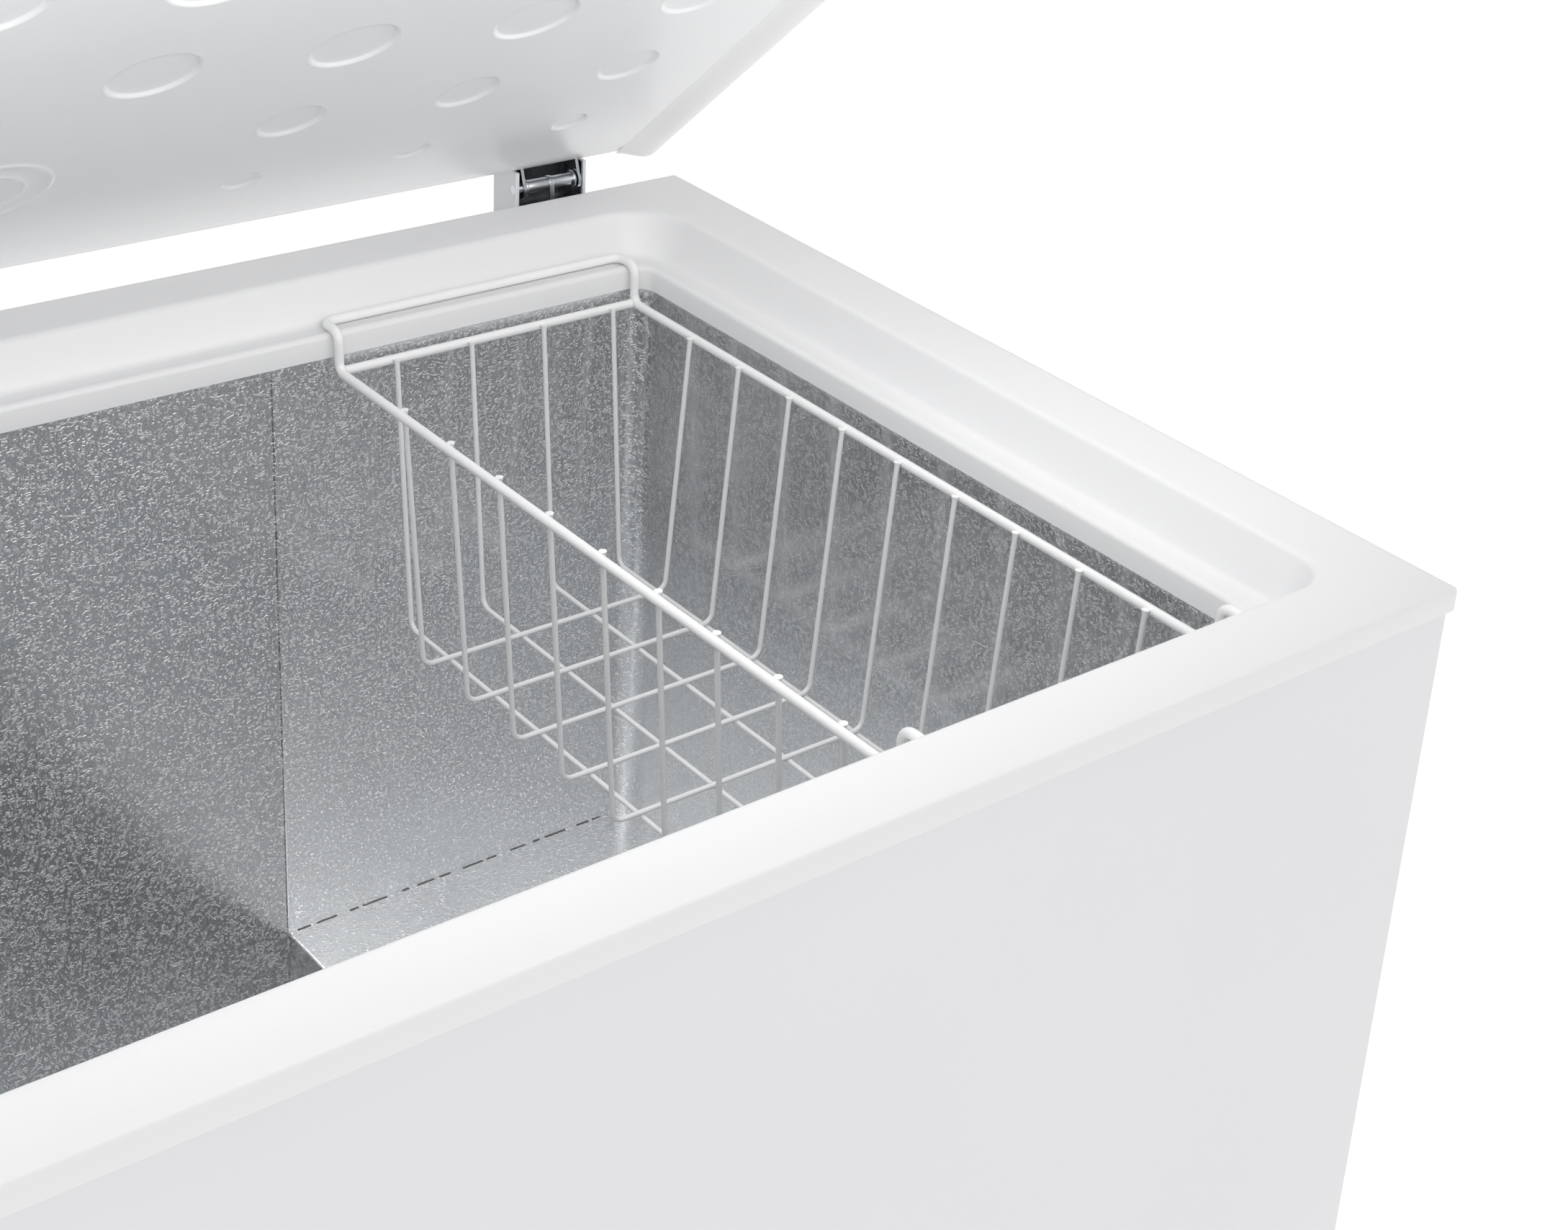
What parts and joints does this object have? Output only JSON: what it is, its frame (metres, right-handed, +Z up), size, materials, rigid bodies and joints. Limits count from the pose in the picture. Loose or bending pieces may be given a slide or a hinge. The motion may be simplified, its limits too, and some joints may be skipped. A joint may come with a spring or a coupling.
{
  "type": "chest freezer",
  "caption": "Top-opening chest freezer: white steel cabinet on castors, hinged insulated lid with dimpled inner panel, moulded rim, embossed liner with a step, hanging wire basket.",
  "frame": {"origin": "on the floor under the middle of the whole object's box, lid standing open at rest", "axes": "+X to the user's right, +Y to the back where the hinges are, +Z up"},
  "size_m": [0.955, 0.6952, 1.286],
  "materials": {
    "white_steel": "gloss white paint",
    "back_steel": "satin pale grey coating",
    "zinc_steel": "zinc plated, satin",
    "foam": "closed-cell foam",
    "collar_plastic": "smooth, slightly glossy",
    "liner_metal": "stucco embossed",
    "copper": "bright copper tube",
    "black_paint": "semi-gloss black",
    "black_rubber": "matte",
    "black_plastic": "matte",
    "wheel_plastic": "matte dark grey",
    "spring_steel": "oiled dark steel",
    "bright_steel": "bright",
    "seal_white": "soft white",
    "lid_plastic": "gloss white",
    "handle_plastic": "fine matt white",
    "grille_plastic": "fine matt white",
    "knob_plastic": "grey",
    "lamp_plastic": "clear coloured",
    "switch_plastic": "orange",
    "wire_white": "white powder coat"
  },
  "bodies": {
    "cabinet": {"front_panel": "white_steel", "left_panel": "white_steel", "right_panel": "white_steel", "back_panel": "back_steel", "base_pan": "zinc_steel", "cabinet_foam": "foam", "collar": "collar_plastic", "liner_left": "liner_metal", "liner_right": "liner_metal", "liner_step": "liner_metal", "evaporator_tube": "copper", "condenser_tube": "copper", "bay_shield": "zinc_steel", "compressor": "black_paint", "compressor_plate": "black_paint", "compressor_grommets": "black_rubber", "compressor_bolts": "zinc_steel", "start_relay_cover": "black_plastic", "filter_drier": "copper", "suction_tube": "copper", "discharge_tube": "copper", "capillary_tube": "copper", "front_grille": "grille_plastic", "rear_grille": "back_steel", "control_bezel": "grille_plastic", "thermostat_body": "black_plastic", "indicator_lamps": "lamp_plastic", "cord_gland": "black_rubber", "caster_plates": "zinc_steel", "rear_caster_forks": "zinc_steel", "rear_axles": "zinc_steel", "hinge_channel_left": "white_steel", "hinge_channel_right": "white_steel", "hinge_pins": "bright_steel", "hinge_springs": "spring_steel", "hinge_rollers": "zinc_steel", "hinge_screws": "bright_steel"},
    "lid": {"hinge_leaf_left": "bright_steel", "hinge_leaf_right": "bright_steel", "lid_screws": "bright_steel", "lid_shell": "white_steel", "lid_foam": "foam", "lid_inner_panel": "lid_plastic", "lid_gasket": "seal_white", "lid_handle": "handle_plastic"},
    "thermostat_dial": {"thermostat_knob": "knob_plastic"},
    "freeze_rocker": {"freeze_switch": "switch_plastic"},
    "drain_stopper": {"drain_plug": "handle_plastic"},
    "castor_front_left": {"caster_fork_left": "zinc_steel", "front_axle_left": "zinc_steel"},
    "castor_front_right": {"caster_fork_right": "zinc_steel", "front_axle_right": "zinc_steel"},
    "roller_front_left": {"wheel_front_left": "wheel_plastic"},
    "roller_front_right": {"wheel_front_right": "wheel_plastic"},
    "roller_rear_left": {"wheel_rear_left": "wheel_plastic"},
    "roller_rear_right": {"wheel_rear_right": "wheel_plastic"},
    "basket": {"basket_rails": "wire_white", "basket_end_rails": "wire_white", "basket_cross_wires": "wire_white", "basket_long_wires": "wire_white"}
  },
  "joints": [
    {"name": "lid_hinge", "type": "hinge", "parent": "cabinet", "child": "lid", "pos_m": [0, 0.32197, 0.79], "axis": [-1, 0, 0], "range_deg": [-41.6, 36.4]},
    {"name": "basket_slide", "type": "slide", "parent": "cabinet", "child": "basket", "axis": [-1, 0, 0], "range_m": [0, 0.59]},
    {"name": "thermostat_turn", "type": "hinge", "parent": "cabinet", "child": "thermostat_dial", "pos_m": [0.385, -0.34403, 0.256], "axis": [0, -1, 0], "range_deg": [0, 300]},
    {"name": "freeze_rock", "type": "hinge", "parent": "cabinet", "child": "freeze_rocker", "pos_m": [0.335, -0.34263, 0.256], "axis": [-1, 0, 0], "range_deg": [0, 20]},
    {"name": "drain_pull", "type": "slide", "parent": "cabinet", "child": "drain_stopper", "axis": [0, 0, 1], "range_m": [0, 0.03]},
    {"name": "castor_swivel_left", "type": "hinge", "parent": "cabinet", "child": "castor_front_left", "pos_m": [-0.4125, -0.28203, 0.042], "axis": [0, 0, 1], "continuous": true},
    {"name": "front_wheel_spin_left", "type": "hinge", "parent": "castor_front_left", "child": "roller_front_left", "pos_m": [-0.4125, -0.27003, 0.017], "axis": [1, 0, 0], "continuous": true},
    {"name": "rear_wheel_spin_left", "type": "hinge", "parent": "cabinet", "child": "roller_rear_left", "pos_m": [-0.4125, 0.24497, 0.017], "axis": [1, 0, 0], "continuous": true},
    {"name": "castor_swivel_right", "type": "hinge", "parent": "cabinet", "child": "castor_front_right", "pos_m": [0.4125, -0.28203, 0.042], "axis": [0, 0, 1], "continuous": true},
    {"name": "front_wheel_spin_right", "type": "hinge", "parent": "castor_front_right", "child": "roller_front_right", "pos_m": [0.4125, -0.27003, 0.017], "axis": [1, 0, 0], "continuous": true},
    {"name": "rear_wheel_spin_right", "type": "hinge", "parent": "cabinet", "child": "roller_rear_right", "pos_m": [0.4125, 0.24497, 0.017], "axis": [1, 0, 0], "continuous": true}
  ]
}
